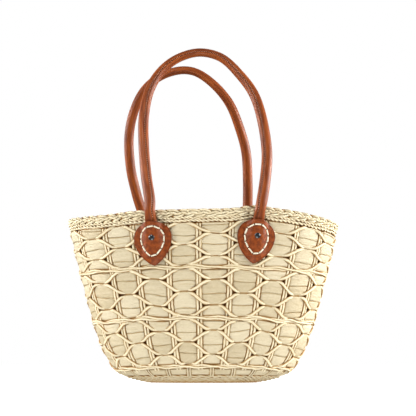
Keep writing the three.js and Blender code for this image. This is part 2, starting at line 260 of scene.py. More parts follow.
# Back of the weave, with the share of the cells' relief that shows there
INSIDE_RELIEF = 0.35
INSIDE_LIFT = 1.2 * MM

# Upright stakes, two at each border of the columns
STAKE_HALF = (1.7 * MM, 1.4 * MM)
STAKE_APART = 1.85 * MM
STAKE_WOBBLE = 0.25 * MM
STAKE_OFFSET = -2.2 * MM
STAKE_WEAVE = 0.45 * MM
STAKE_DIVE = 4 * MM

# Waves over and under each cell: heights in rows, offsets in a column's middle and at its
# border, and the share of the width left in the middle
WAVE_HALF = (2.1 * MM, 1.5 * MM)
WAVE_START = 0.25
WAVE_SWING = 0.205
WAVE_STANDOFF = 0.05
WAVE_OFFSETS = (-3.7 * MM, -0.6 * MM)
WAVE_NARROWING = 0.5

# Twined cords bound round the wall, with the turns that they make round the basket
CORD_HALF = (1.6 * MM, 1.4 * MM)
CORD_TURNS = 8
CORD_SPREAD = 0.047
CORD_OFFSET = -1.1 * MM
CORD_WEAVE = 0.9 * MM

# Rim: heights over its top edge, offsets, and turns round the basket
CORE_HALF = (4.8 * MM, 2.0 * MM)
CORE_ABOVE = -6.6 * MM
CORE_OFFSET = -5.6 * MM
PLAIT_TURNS = 21
PLAIT_ABOVE = -6.4 * MM
PLAIT_RISE = 2.7 * MM
PLAIT_OFFSET = -2.9 * MM
PLAIT_SWING = 1.8 * MM
STRIP_HALF = (1.4 * MM, 1.3 * MM)
STRIP_APART = 1.6 * MM
TWINE_TURNS = 72
TWINE_DROPS = (12.3 * MM, 15.7 * MM)
TWINE_HALF = (1.3 * MM, 1.25 * MM)
TWINE_RISE = 0.85 * MM
TWINE_WANDER = 0.35 * MM
TWINE_OFFSET = -2.6 * MM
TWINE_SWING = 1.1 * MM

# Base: its band of flat cells by place up the lower edge, the painted shade of the bed between them,
# and its strands
BAND_LOW = 0.58
BAND_HIGH = 0.9
BAND_FLANK = (2.4 * MM, 3.8 * MM)
BED_SHADE = 0.65
BASE_BED_OFFSET = -2.6 * MM
BASE_CELL_OFFSET = -1.0 * MM
BASE_STAKE_HALF = (1.3 * MM, 1.1 * MM)
BASE_STAKE_APART = 1.5 * MM
BASE_STAKE_OFFSET = -1.7 * MM
COIL_HALF = (1.6 * MM, 1.4 * MM)
COIL_SPREAD = 0.022
COIL_OFFSET = -2.3 * MM
COIL_SWING = 0.8 * MM

# Coils of the lower edge: place up the edge, turns round the basket, painted brown shade on
# the flanks and painted brown shade over the whole, heavier towards the underside
BASE_COILS = [
    (0.5, 23, 0.8, 0.0),
    (0.4, 26, 0.85, 0.0),
    (0.3, 21, 0.95, 0.1),
    (0.2, 24, 0.95, 0.3),
    (0.1, 22, 0.95, 0.5),
    (0.02, 20, 0.95, 0.7),
]

# Floor: its rings, and how far its faces reach as a share of the edge and of the foot
FLOOR_RINGS = 16
FLOOR_RELIEF = 0.9 * MM
FLOOR_CURL = 30 * MM
UNDERSIDE_REACH = 1.03
FLOOR_REACH = 0.93

# Strands differ in tone, and swell along their length by a share of their size
STRAND_TONES = (0.3, 0.8)
STRAND_SWELL = 0.1

# First seed of each kind of strand
STAKE_SEED = 1
WAVE_UP_SEED = 30.2
WAVE_DOWN_SEED = 40.6
CORD_SEED = 50.1
CORE_SEED = 59.1
PLAIT_SEED = 60.3
TWINE_SEED = 70.7
BASE_STAKE_SEED = 80
COIL_SEED = 95.3

# Fineness of the meshes, and the steps between two points when a surface's slope is taken
PANEL_AROUND = 28 * COLUMNS
PANEL_UP = 172
INSIDE_AROUND = 320
INSIDE_UP = 96
STEPS_PER_COLUMN = 18
STAKE_STEPS = 70
RIM_STEPS = 1080
BASE_UP = 44
BASE_AROUND = 18 * COLUMNS
COIL_STEPS_PER_COLUMN = 24
FLOOR_AROUND = 240
FLOOR_LOOPS = 72
PATCH_AROUND = 144
RIVET_AROUND = 40
STEPS_PER_STATION = 12
SLOPE_STEP = 1e-3
PATCH_SLOPE_STEP = 1e-5

# Husk: pale, deep and brown colour, where the brown is painted shade in the depth of the weave, and
# the colours of its patches and of its painted shade
HUSK_COLOURS = [(0.64, 0.555, 0.38), (0.48, 0.39, 0.235), (0.34, 0.16, 0.04)]
PLAIT_COLOURS = [(0.83, 0.745, 0.53), (0.68, 0.57, 0.36), (0.37, 0.18, 0.045)]
GREEN_HUSK = (0.62, 0.56, 0.36)
SHADED_HUSK = (0.42, 0.29, 0.12)
DEEPEST_HUSK = (0.17, 0.062, 0.012)

# Length of husk that one column stands for, and scales of the husk's noise for each metre,
# along and across its fibres
COLUMN_LENGTH = 0.036
FOLD_SCALE = (38, 330, 330)
FIBRE_SCALE = (70, 1500, 1500)
BLOTCH_SCALE = (45, 90, 90)
WRINKLE_SCALE = (240, 420, 420)

# Leathers: light and dark colour, width of a pore's cell, scale of the clouds, and strength
# of the bumps
TUBE_LEATHER = [(0.32, 0.076, 0.014), (0.13, 0.025, 0.005), 2.5 * MM, (30, 260, 260), 0.35]
PATCH_LEATHER = [(0.29, 0.062, 0.01), (0.13, 0.025, 0.004), 0.9 * MM, (240, 240, 240), 1.0]
LEATHER_HOLE_SHADE = (0.06, 0.018, 0.006)
LEATHER_ROUGHNESS = 0.36
FINE_GRAIN_SCALE = (2500, 2500, 2500)

# Threads: light and dark colour
CREAM_THREAD = [(0.9, 0.86, 0.7), (0.66, 0.58, 0.4)]
TAN_THREAD = [(0.5, 0.21, 0.12), (0.3, 0.11, 0.06)]
THREAD_SCALE = (900, 1600, 1600)

# Rivet colours
RING_COLOUR = (0.45, 0.44, 0.43)
DOME_COLOUR = (0.005, 0.006, 0.008)

# Camera and stage
CAMERA_PLACE = (0.005697, -1.3, 0.025)
CAMERA_TILT = 8.682842
CAMERA_LENS = 87.607
CAMERA_SENSOR = 36
WHITE = (1, 1, 1, 1)
WORLD_STRENGTH = 0.32
FLOOR_GLOW = 0.88
FLOOR_PLANE_HALF = 12.0
BACKDROP_RADIUS = 11
BACKDROP_SIDES = 48
BACKDROP_LOOPS = 12
LIGHT_TARGET = Vector((0, 0, 0.15))

# Lights: name, place, size and power
LIGHTS = [
    ("key", (-0.7, -1.6, 1.4), 0.4, 11),
    ("right_side", (1.6, -0.6, 0.6), 0.6, 28),
    ("left_side", (-1.5, -0.7, 0.6), 0.6, 18),
    ("floor_bounce", (0, -0.6, -0.7), 1.0, 10),
    ("right_edge", (1.6, 0.35, 0.6), 0.6, 34),
    ("left_edge", (-1.6, 0.35, 0.6), 0.6, 22),
    ("back_fill", (0.3, 1.8, 1.1), 1.0, 10),
]


def smooth_value(table, column, key):
    """A table's column at a key: smooth between rows, straight past the ends."""
    keys = table[:, 0]
    values = table[:, column]
    last = len(keys) - 1
    before = np.maximum(np.arange(last + 1) - 1, 0)
    after = np.minimum(np.arange(last + 1) + 1, last)
    slopes = (values[after] - values[before]) / (keys[after] - keys[before])
    low = np.clip(np.searchsorted(keys, key) - 1, 0, last - 1)
    span = keys[low + 1] - keys[low]
    share = (key - keys[low]) / span
    inside = np.clip(share, 0, 1)
    square = inside ** 2
    cube = inside ** 3
    value = (2 * cube - 3 * square + 1) * values[low]
    value = value + (cube - 2 * square + inside) * span * slopes[low]
    value = value + (3 * square - 2 * cube) * values[low + 1]
    value = value + (cube - square) * span * slopes[low + 1]
    past = np.where(share > 1, slopes[low + 1], slopes[low])
    return value + past * (share - inside) * span


def smooth_step(low, high, value):
    share = np.clip((value - low) / (high - low), 0, 1)
    return share * share * (3 - 2 * share)


def lerp(start, end, share):
    return start + (end - start) * share


def unit(vectors):
    return vectors / np.linalg.norm(vectors, axis=-1, keepdims=True)


class Waves:
    """A smooth irregular value of about -1 to 1, periodic round the basket."""

    def __init__(self, seed, slowest, fastest, count=9):
        chance = np.random.default_rng(seed)
        self.around = chance.integers(slowest, fastest, count)
        self.upward = chance.uniform(-1, 1, count) * fastest / 9
        self.phase = chance.uniform(0, TURN, count)

    def __call__(self, column, row):
        total = 0
        for around, upward, phase in zip(self.around, self.upward, self.phase):
            total = total + np.sin(TURN * around * column / COLUMNS + upward * row + phase)
        return total / math.sqrt(len(self.phase))


# The basket's outermost face. Places on it are given by the column round the basket and by
# the row of cells up it, and drift a little from an even pattern, as hand weaving does.

def half_width(height):
    return RIM_HALF_WIDTH * smooth_value(SECTIONS, 1, height / BASKET_HEIGHT)


def half_depth(height):
    return RIM_HALF_DEPTH * smooth_value(SECTIONS, 2, height / BASKET_HEIGHT)


def make_turn_table():
    middle = SECTIONS[len(SECTIONS) // 2]
    steps = 2000
    turns = TURN * (np.arange(steps) + 0.5) / steps
    width = RIM_HALF_WIDTH * middle[1]
    depth = RIM_HALF_DEPTH * middle[2]
    gaps = np.hypot(width * np.cos(turns), depth * np.sin(turns))
    lengths = np.concatenate([[0], np.cumsum(gaps)])
    return lengths / lengths[-1], TURN * np.arange(steps + 1) / steps


TURN_TABLE = make_turn_table()


def turn_at(share):
    whole = np.floor(share)
    return np.interp(share - whole, *TURN_TABLE) + TURN * whole


def columns_round(steps):
    """Even places round the basket, from the middle of the back."""
    return COLUMNS / 2 + COLUMNS * np.arange(steps) / steps


def rim_lift(turn):
    return RIM_SAG * smooth_value(RIM_WAVES, 1, np.sin(turn))


def row_height(row, turn):
    level = BASKET_HEIGHT * smooth_value(CORD_ROWS, 1, row)
    droop = -SIDE_DROOP * np.sin(turn) ** 2
    return level + lerp(droop, rim_lift(turn), smooth_step(RIM_FOLLOW_ROW, ROWS, row))


def face_point(height, turn):
    x = half_width(height) * np.sin(turn)
    y = -half_depth(height) * np.cos(turn)
    return np.stack([x, y, height + 0 * turn], axis=-1)


COLUMN_DRIFT = Waves(3, 4, 15)
ROW_DRIFT = Waves(8, 5, 19)


def wall_surface(column, row):
    inner = smooth_step(0, 0.5, row) * smooth_step(ROWS, ROWS - 0.5, row)
    moved_column = column + COLUMN_DRIFT_REACH * COLUMN_DRIFT(column, row)
    moved_row = row + ROW_DRIFT_REACH * ROW_DRIFT(column, row) * inner
    turn = turn_at(COLUMN_START + moved_column / COLUMNS)
    return face_point(row_height(moved_row, turn), turn)


def rim_surface(column, above):
    """above is the height over the rim's top edge, in metres."""
    turn = turn_at(COLUMN_START + column / COLUMNS)
    return face_point(BASKET_HEIGHT + rim_lift(turn) + above, turn)


def base_surface(column, up):
    """up runs from 0, the flat underside's edge, to 1, the wall's foot."""
    moved_column = column + COLUMN_DRIFT_REACH * COLUMN_DRIFT(column, 0)
    turn = turn_at(COLUMN_START + moved_column / COLUMNS)
    spread = smooth_value(BASE_EDGE, 1, 1 - up)
    upright_turn = turn + (1 - spread) * np.sin(4 * turn) / 4
    foot = row_height(0, upright_turn)
    height = foot * smooth_value(BASE_EDGE, 2, 1 - up)
    x = half_width(foot) * spread * np.sin(upright_turn)
    y = -half_depth(foot) * spread * np.cos(upright_turn)
    return np.stack([x, y, height], axis=-1)


def lifted(surface, across, up, offset, reach=SLOPE_STEP):
    """Points over a surface, its outward normals, and metres for each unit across."""
    side = surface(across + reach, up) - surface(across - reach, up)
    rise = surface(across, up + reach) - surface(across, up - reach)
    normals = unit(np.cross(side, rise))
    points = surface(across, up) + normals * np.asarray(offset)[..., None]
    return points, normals, np.linalg.norm(side, axis=-1) / (2 * reach)


def crevice_at(offset):
    """Painted brown shade by depth: 0 on open faces, 1 in the depth between them."""
    return smooth_step(CREVICE_START, CREVICE_END, -offset)


# Meshes

class Shape:
    """The points, faces and per-point values of one piece, gathered from grids."""

    def __init__(self):
        self.points = []
        self.faces = []
        self.grain = []
        self.tone = []
        self.crevice = []
        self.count = 0

    def add_grid(self, points, grain, tone, crevice, closes=False, capped=False):
        """Loops of points. Each loop wraps onto itself. The first and last loops are joined where
        the grid closes, or filled in where it is capped."""
        loops, sides = points.shape[:2]
        index = self.count + np.arange(loops * sides).reshape(loops, sides)
        if capped:
            self.faces.append(index[0][::-1].tolist())
            self.faces.append(index[-1].tolist())
        if closes:
            index = np.concatenate([index, index[:1]], axis=0)
        index = np.concatenate([index, index[:, :1]], axis=1)
        corners = [index[:-1, :-1], index[:-1, 1:], index[1:, 1:], index[1:, :-1]]
        self.faces.extend(np.stack(corners, axis=-1).reshape(-1, 4).tolist())
        self.points.append(points.reshape(-1, 3))
        self.grain.append(np.broadcast_to(grain, points.shape).reshape(-1, 3))
        self.tone.append(np.broadcast_to(tone, (loops, sides)).ravel())
        self.crevice.append(np.broadcast_to(crevice, (loops, sides)).ravel())
        self.count += loops * sides

    def finish(self, name, material, nodes):
        """Makes the piece, which rides on the bag and stands for the frame's nodes."""
        mesh = bpy.data.meshes.new(name)
        mesh.from_pydata(np.concatenate(self.points).tolist(), [], self.faces)
        grain = mesh.attributes.new("grain", "FLOAT_VECTOR", "POINT")
        grain.data.foreach_set("vector", np.concatenate(self.grain).ravel())
        for value_name, values in (("tone", self.tone), ("crevice", self.crevice)):
            attribute = mesh.attributes.new(value_name, "FLOAT", "POINT")
            attribute.data.foreach_set("value", np.concatenate(values))
        mesh.shade_smooth()
        mesh.materials.append(material)
        piece = bpy.data.objects.new(name, mesh)
        bpy.context.scene.collection.objects.link(piece)
        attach(piece, "root")
        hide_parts(*nodes)


def sweep(shape, points, normals, offset, half_size, seed, sides=10, closes=False, ply=0.0,
          lay=0.014, stain=0.8, dirt=0.0, pale_inside=False):
    """A strand along points. ply is how far its two plies stand out, lay the length of a turn,
    and the next two the painted brown shade on its flanks, where it turns under, and over all
    of it. pale_inside keeps the painted shade off the side that faces the basket's inside."""
    if closes:
        tangents = unit(np.roll(points, -1, axis=0) - np.roll(points, 1, axis=0))
    else:
        tangents = unit(np.gradient(points, axis=0))
    sideways = unit(np.cross(normals, tangents))
    steps = np.linalg.norm(np.diff(points, axis=0), axis=1)
    length = np.concatenate([[0], np.cumsum(steps)])[:, None]
    angles = TURN * np.arange(sides) / sides
    reach = 1 + ply * np.cos(2 * (angles - TURN * length / lay - seed))
    tone = np.random.default_rng(int(seed * 1000)).uniform(*STRAND_TONES)
    swell = 1 + STRAND_SWELL * np.sin(length * 130 + seed) * np.cos(length * 47 + 2 * seed)
    half_wide, half_thick = (np.asarray(half).reshape(-1, 1) for half in half_size)
    wide = half_wide * reach * np.cos(angles) * swell
    thick = half_thick * reach * np.sin(angles) * swell
    loops = points[:, None] + sideways[:, None] * wide[..., None]
    loops = loops + normals[:, None] * thick[..., None]
    grain = np.stack([length + seed * 1.7 + 0 * wide, wide, thick], axis=-1)
    depth = np.asarray(offset).reshape(-1, 1) + thick
    # Painted shade: brown on the flanks that turn under, where the strand sinks deep into the weave,
    # and over the whole strand as asked
    flanks = stain * smooth_step(0.92, 0.35, np.sin(angles))
    crevice = np.maximum(np.maximum(crevice_at(depth), flanks), dirt)
    if pale_inside:
        crevice = crevice * smooth_step(-0.1, 0.4, np.sin(angles))
    shape.add_grid(loops, grain, tone, crevice, closes=closes, capped=not closes)


def add_strand(shape, surface, across, up, offset, half_size, seed, **form):
    """A strand that follows a surface at an offset from it."""
    points, normals, _ = lifted(surface, across, up, offset)
    sweep(shape, points, normals, offset, half_size, seed, **form)


# Wall: husk cells

def arch(across):
    """1 at a column's middle, 0 at its borders, with straight flanks."""
    rise = np.cos(math.pi * across)
    return 1.5 * rise - 0.5 * rise ** 3


def cell_at(column, row):
    number = np.floor(column)
    across = column - number - 0.5
    stagger = np.where(number % 2 == 0, 0.5, 0.0)
    level = np.floor(row + stagger)
    up = row + stagger - level - 0.5
    return number.astype(int) % COLUMNS, np.clip(level, 0, ROWS).astype(int), across, up


def cell_values(seed):
    chance = np.random.default_rng(seed)
    cells = (COLUMNS, ROWS + 1)
    return {
        "tone": chance.uniform(0.25, 1, cells),
        "lower_tone": chance.uniform(-0.25, 0.15, cells),
        "split": chance.uniform(-0.16, 0.03, cells),
        "slope": chance.uniform(-0.05, 0.05, cells),
        "second": chance.uniform(-0.38, -0.2, cells),
        "has_second": (chance.uniform(0, 1, cells) > 0.55).astype(float),
        "swell": chance.uniform(-0.35, 0.35, cells) * MM,
        "grain": chance.uniform(0, 50, cells),
    }


CELLS = cell_values(21)


def cell_relief(column, row, column_width):
    """Offset of the husk cells, with their tone, painted crevice shade and grain seed."""
    number, level, across, up = cell_at(column, row)
    picked = {name: values[number, level] for name, values in CELLS.items()}
    rise = arch(across)
    half_height = CELL_HALF_HEIGHT + WAVE_SWING * rise + CELL_CROWN * rise ** 4
    reach = np.abs(up) / half_height
    side = (0.5 - np.abs(across)) * column_width
    body = smooth_step(*CELL_FLANK, side) * (1 - smooth_step(0.9, 1.1, reach))
    body = body * smooth_step(-0.06, 0.03, row) * smooth_step(ROWS + 0.04, ROWS - 0.05, row)
    dome = -CREST_DEPTH + picked["swell"] - CELL_BOW * (2 * across) ** 2
    dome = dome - CELL_BOW * np.minimum(reach, 1) ** 3
    split = up - picked["split"] - picked["slope"] * across * 2
    second = up - picked["second"]
    step = SPLIT_STEP * smooth_step(0.012, -0.012, split) * smooth_step(-0.3, 0, split)
    groove = np.exp(-(split / SPLIT_WIDTH) ** 2)
    small_groove = np.exp(-(second / SMALL_SPLIT_WIDTH) ** 2) * picked["has_second"]
    dome = dome - step - SPLIT_DEPTH * groove - SMALL_SPLIT_DEPTH * small_groove
    from_cord = np.min([np.abs(row - cord) for cord in TWINED_ROWS], axis=0)
    dome = dome - CORD_DENT * np.exp(-(from_cord / CORD_DENT_WIDTH) ** 2)
    offset = lerp(-FLOOR_DEPTH, dome, body)
    # Painted brown shade: deep between the cells, along their splits, on their flanks where they dive
    # under the strands, and beside the twined cords
    crevice = np.maximum(crevice_at(offset), 0.55 * groove + 0.25 * small_groove)
    crevice = np.maximum(crevice, 0.9 * smooth_step(1.0, 0.35, body))
    crevice = np.maximum(crevice, 0.65 * smooth_step(0.13, 0.085, from_cord))
    tone = picked["tone"] + np.where(split < 0, picked["lower_tone"], 0)
    return offset, tone, crevice, picked["grain"] + 3.1 * (split < 0)


def make_wall_husk(material):
    shape = Shape()
    rows = np.linspace(*WALL_ROWS, PANEL_UP)
    column, row = np.meshgrid(columns_round(PANEL_AROUND), rows)
    _, _, width = lifted(wall_surface, column, row, 0 * column)
    offset, tone, crevice, seed = cell_relief(column, row, width)
    points, _, _ = lifted(wall_surface, column, row, offset)
    grain = np.stack([column * COLUMN_LENGTH + seed, points[..., 2], seed * 0.1], axis=-1)
    shape.add_grid(points, grain, tone, crevice)
    shape.finish("wall_husk", material, ["basket_wall"])


# Wall: strands over the cells

def swing(column):
    """1 at the middle of odd columns, -1 at the middle of even ones."""
    return arch(column - 1.5)


def add_stakes(shape):
    rows = np.linspace(-0.2, ROWS + 0.1, STAKE_STEPS)
    for border in range(COLUMNS):
        for side in (-1, 1):
            seed = STAKE_SEED + border + 0.31 * side
            wobble = STAKE_WOBBLE * np.sin(rows * 2.3 + seed * 7)
            _, _, width = lifted(wall_surface, border + 0 * rows, rows, 0 * rows)
            columns = border + (side * STAKE_APART + wobble) / width
            offset = STAKE_OFFSET + STAKE_WEAVE * np.cos(2 * TURN * rows)
            offset = offset - STAKE_DIVE * smooth_step(ROWS - 0.12, ROWS + 0.05, rows)
            add_strand(shape, wall_surface, columns, rows, offset, STAKE_HALF, seed, ply=0.1)


def add_wave(shape, middle, direction, seed):
    """A strand that swings from under one column's cells to over the next column's."""
    columns = columns_round(COLUMNS * STEPS_PER_COLUMN)
    wobble = Waves(int(seed * 10), 12, 45)(columns, 0 * columns)
    rows = middle + direction * (WAVE_START - WAVE_SWING * swing(columns)) + WANDER * wobble
    near_cord = sum(np.exp(-((rows - cord) / CORD_DENT_WIDTH) ** 2) for cord in TWINED_ROWS)
    rows = rows + direction * WAVE_STANDOFF * near_cord
    border = 0.5 + 0.5 * np.cos(TURN * columns)
    offset = lerp(*WAVE_OFFSETS, smooth_step(0, 0.8, border))
    half_wide = WAVE_HALF[0] * lerp(WAVE_NARROWING, 1, smooth_step(0, 0.6, border))
    add_strand(shape, wall_surface, columns, rows, offset, (half_wide, WAVE_HALF[1]), seed,
               closes=True, ply=0.12, lay=0.019)


def add_cord(shape, row, seed):
    """Two strands twined round each other, bound round the basket."""
    columns = columns_round(COLUMNS * STEPS_PER_COLUMN)
    for strand in (0, 1):
        phase = TURN * CORD_TURNS * columns / COLUMNS + math.pi * strand + seed
        rows = row + CORD_SPREAD * np.cos(phase) + WANDER * np.sin(3.7 * phase + seed)
        offset = CORD_OFFSET + CORD_WEAVE * np.sin(phase)
        add_strand(shape, wall_surface, columns, rows, offset, CORD_HALF, seed + 0.4 * strand,
                   closes=True, ply=0.1)


def make_wall_strands(material):
    shape = Shape()
    add_stakes(shape)
    for middle in range(ROWS + 1):
        if middle < ROWS:
            add_wave(shape, middle, 1, WAVE_UP_SEED + middle)
        if middle > 0:
            add_wave(shape, middle, -1, WAVE_DOWN_SEED + middle)
    for number, row in enumerate(TWINED_ROWS):
        add_cord(shape, row, CORD_SEED + 1.7 * number)
    shape.finish("wall_strands", material, ["basket_wall"])


def make_wall_inside(material):
    """The back of the weave, seen through the mouth."""
    shape = Shape()
    rows = np.linspace(*WALL_ROWS, INSIDE_UP)[::-1]
    column, row = np.meshgrid(columns_round(INSIDE_AROUND), rows)
    _, _, width = lifted(wall_surface, column, row, 0 * column)
    relief, tone, crevice, seed = cell_relief(column, row, width)
    offset = -WALL_THICKNESS + INSIDE_RELIEF * (-FLOOR_DEPTH - relief) + INSIDE_LIFT
    points, _, _ = lifted(wall_surface, column, row, offset)
    grain = np.stack([column * COLUMN_LENGTH + seed, points[..., 2], seed * 0.1], axis=-1)
    # Painted shade: faint all over the back of the weave, more in its depths
    shape.add_grid(points, grain, tone, 0.03 + 0.35 * crevice)
    shape.finish("wall_inside", material, ["basket_wall"])


# Rim: a plait of three strands over two twined rows

def add_core(shape):
    """The dark bed in the middle of the plait, its dark brown a painted shade between the plait's
    strands.
    """
    level = np.zeros(RIM_STEPS)
    add_strand(shape, rim_surface, columns_round(RIM_STEPS), CORE_ABOVE + level,
               CORE_OFFSET + level, CORE_HALF, CORE_SEED, closes=True, stain=0.5, dirt=0.8,
               pale_inside=True)


def add_plait(shape, drift):
    """Three strands plaited round the rim, each of two strips side by side."""
    columns = columns_round(RIM_STEPS)
    share = np.arange(RIM_STEPS) / RIM_STEPS
    for strand in range(3):
        phase = TURN * (PLAIT_TURNS * share + strand / 3) + 0.25 * drift(columns, strand)
        above = PLAIT_ABOVE + PLAIT_RISE * (np.sin(phase) + 0.1 * np.sin(3 * phase))
        offset = PLAIT_OFFSET - PLAIT_SWING * np.sin(2 * phase)
        points, normals, _ = lifted(rim_surface, columns, above, offset)
        ahead = np.roll(points, -1, axis=0) - np.roll(points, 1, axis=0)
        sideways = unit(np.cross(normals, ahead))
        for strip in (-1, 1):
            seed = PLAIT_SEED + strand + 0.2 * strip
            sweep(shape, points + sideways * strip * STRIP_APART, normals, offset, STRIP_HALF, seed,
                  sides=8, closes=True, pale_inside=True)


def add_twined_rows(shape, drift):
    """Two rows under the plait, each of two strands twined round each other."""
    columns = columns_round(RIM_STEPS)
    share = np.arange(RIM_STEPS) / RIM_STEPS
    for row, drop in enumerate(TWINE_DROPS):
        for strand in (0, 1):
            phase = TURN * TWINE_TURNS * share + math.pi * strand + 0.4 * drift(columns, 3 + row)
            above = -drop + TWINE_RISE * np.cos(phase) + TWINE_WANDER * drift(columns, 7 + row)
            offset = TWINE_OFFSET + TWINE_SWING * np.sin(phase)
            seed = TWINE_SEED + row + 0.3 * strand
            add_strand(shape, rim_surface, columns, above, offset, TWINE_HALF, seed, sides=6,
                       closes=True)


def make_rim(material):
    shape = Shape()
    drift = Waves(5, 9, 40)
    add_core(shape)
    add_plait(shape, drift)
    add_twined_rows(shape, drift)
    shape.finish("rim_braid", material, ["rim_plait"])


# Base: a woven lower edge and a ringed floor

def base_relief(column, up, column_width):
    """A band of flat cells under the wall, and the bed of the coils below it."""
    across = column - np.floor(column) - 0.5
    side = np.abs(across) * column_width
    band = smooth_step(BAND_LOW, BAND_LOW + 0.05, up) * smooth_step(BAND_HIGH, BAND_HIGH - 0.05, up)
    body = smooth_step(*BAND_FLANK, side) * band
    offset = lerp(BASE_BED_OFFSET, BASE_CELL_OFFSET, body)
    return offset * smooth_step(-0.05, 0.2, up), body


def make_base(material):
    shape = Shape()
    column, up = np.meshgrid(columns_round(BASE_AROUND), np.linspace(0.0, 1.02, BASE_UP))
    _, _, width = lifted(base_surface, column, up, 0 * column)
    offset, body = base_relief(column, up, width)
    points, _, _ = lifted(base_surface, column, up, offset)
    cell = np.floor(column + 0.5)
    grain = np.stack([column * 0.03, points[..., 2], 0.3 * cell], axis=-1)
    tone = 0.4 + 0.2 * np.sin(cell * 4.1)
    # Painted brown shade on the bed between the band's cells
    shape.add_grid(points, grain, tone, BED_SHADE * (1 - body))
    add_base_stakes(shape)
    add_base_coils(shape)
    shape.finish("base_weave", material, ["basket_base"])


def add_base_stakes(shape):
    ups = np.linspace(BAND_LOW - 0.04, 1, 20)
    for border in range(COLUMNS):
        for side in (-1, 1):
            seed = BASE_STAKE_SEED + border + 0.31 * side
            middle = border + 0.5 + 0 * ups
            _, _, width = lifted(base_surface, middle, ups, 0 * ups)
            columns = middle + side * BASE_STAKE_APART / width
            offset = BASE_STAKE_OFFSET + 0 * ups
            add_strand(shape, base_surface, columns, ups, offset, BASE_STAKE_HALF, seed, sides=6)


def add_base_coils(shape):
    columns = columns_round(COLUMNS * COIL_STEPS_PER_COLUMN)
    for number, (up, turns, stain, dirt) in enumerate(BASE_COILS):
        for strand in (0, 1):
            phase = TURN * turns * columns / COLUMNS + math.pi * strand + number
            ups = up + COIL_SPREAD * np.cos(phase)
            offset = COIL_OFFSET + COIL_SWING * np.sin(phase)
            seed = COIL_SEED + number + 0.4 * strand
            add_strand(shape, base_surface, columns, ups, offset, COIL_HALF, seed, sides=8,
                       closes=True, stain=stain, dirt=dirt)


def add_floor_face(shape, height, is_underside):
    """Rings twined round the middle, on the underside or on the inside of the floor."""
    columns = columns_round(FLOOR_AROUND)
    turn = turn_at(COLUMN_START + columns / COLUMNS)
    foot = row_height(0, turn)
    edge_spread = BASE_EDGE[-1, 1]
    reach = edge_spread * UNDERSIDE_REACH if is_underside else FLOOR_REACH
    share = np.linspace(1, 0.02, FLOOR_LOOPS)[:, None]
    spread = reach * share
    rings = 0.5 + 0.5 * np.cos(TURN * share * FLOOR_RINGS)
    twine = 0.5 + 0.5 * np.cos(TURN * columns * 2 + share * 100)
    relief = FLOOR_RELIEF * rings * (0.5 + 0.5 * twine)
    x = half_width(foot) * spread * np.sin(turn)
    y = -half_depth(foot) * spread * np.cos(turn)
    level = height + np.maximum(0.0, spread - edge_spread) * FLOOR_CURL
    z = level + FLOOR_RELIEF - relief if is_underside else level + relief
    points = np.stack([x, y, z], axis=-1)
    # Painted brown shade in the grooves between the rings
    crevice = (1 - rings) * 0.4 + 0 * x
    if is_underside:
        points = points[::-1]
        crevice = crevice[::-1]
    grain = np.stack([0 * x + columns * 0.02, points[..., 0], points[..., 1]], axis=-1)
    shape.add_grid(points, grain, 0.4, crevice)


def make_floor(material):
    """Underside and inside of the floor."""
    shape = Shape()
    add_floor_face(shape, 0.0, is_underside=True)
    add_floor_face(shape, FLOOR_THICKNESS, is_underside=False)
    shape.finish("base_rings", material, ["basket_base"])


# Leather patches: right and up are seen from outside, from the rivet's centre

def patch_surface(fixing):
    tilt = math.radians(fixing["tilt"]) * -fixing["side"]

    def surface(right, up):
        across_seen = right * math.cos(tilt) + up * math.sin(tilt)
        height = BASKET_HEIGHT * fixing["height"] + up * math.cos(tilt) - right * math.sin(tilt)
        x = HANDLE_HALF_SPAN * fixing["across"] - fixing["side"] * across_seen
        turn = np.arcsin(x / half_width(height))
        return face_point(height, turn if fixing["side"] < 0 else math.pi - turn)

    return surface


def patch_point(fixing, right, up, offset):
    right = np.asarray(right, float)
    up = np.asarray(up, float)
    return lifted(patch_surface(fixing), right, up, offset + 0 * right, reach=PATCH_SLOPE_STEP)


def along_patch(share):
    return share * np.where(share < 0, PATCH_BELOW_RIVET, PATCH_ABOVE_RIVET)


def end_size(column, up):
    share = up / np.where(up < 0, PATCH_BELOW_RIVET, PATCH_ABOVE_RIVET)
    return TUBE_DIAMETER * smooth_value(END_SECTIONS, column, share)


def underside_at(right, up):
    end_of_tube = along_patch(END_SECTIONS[0, 0])
    nearest = np.maximum(up, end_of_tube)
    half = end_size(1, nearest) / 2
    sideways = 1 - smooth_step(DOME_FLAT * half, half + DOME_SHOULDER, np.abs(right))
    lengthways = smooth_step(end_of_tube - DOME_SHOULDER, end_of_tube + SEAM, up)
    return SEAM + (end_size(2, nearest) + DOME_CLEARANCE) * sideways * lengthways


def patch_place(angle, share):
    """Place on the patch at an angle round the rivet, share of the way to the edge."""
    cosine = np.cos(angle)
    sine = np.sin(angle)
    power = np.where(sine < 0, PATCH_TIP_POWER, 1.0)
    right = np.sign(cosine) * np.abs(cosine) ** power * PATCH_WIDTH / 2
    lengthways = share + STITCH_STRETCH * share * (1 - share)
    return share * right, lengthways * along_patch(sine)


def stitch_ends():
    """Places of the holes, in order round the patch."""
    angles = np.linspace(0, TURN, 721)
    right, up = patch_place(angles, STITCH_SHARE)
    lengths = np.concatenate([[0], np.cumsum(np.hypot(np.diff(right), np.diff(up)))])
    wanted = lengths[-1] * (np.arange(STITCHES + 1) + FIRST_STITCH) / STITCHES
    wanted = wanted % lengths[-1]
    return np.interp(wanted, lengths, right), np.interp(wanted, lengths, up)


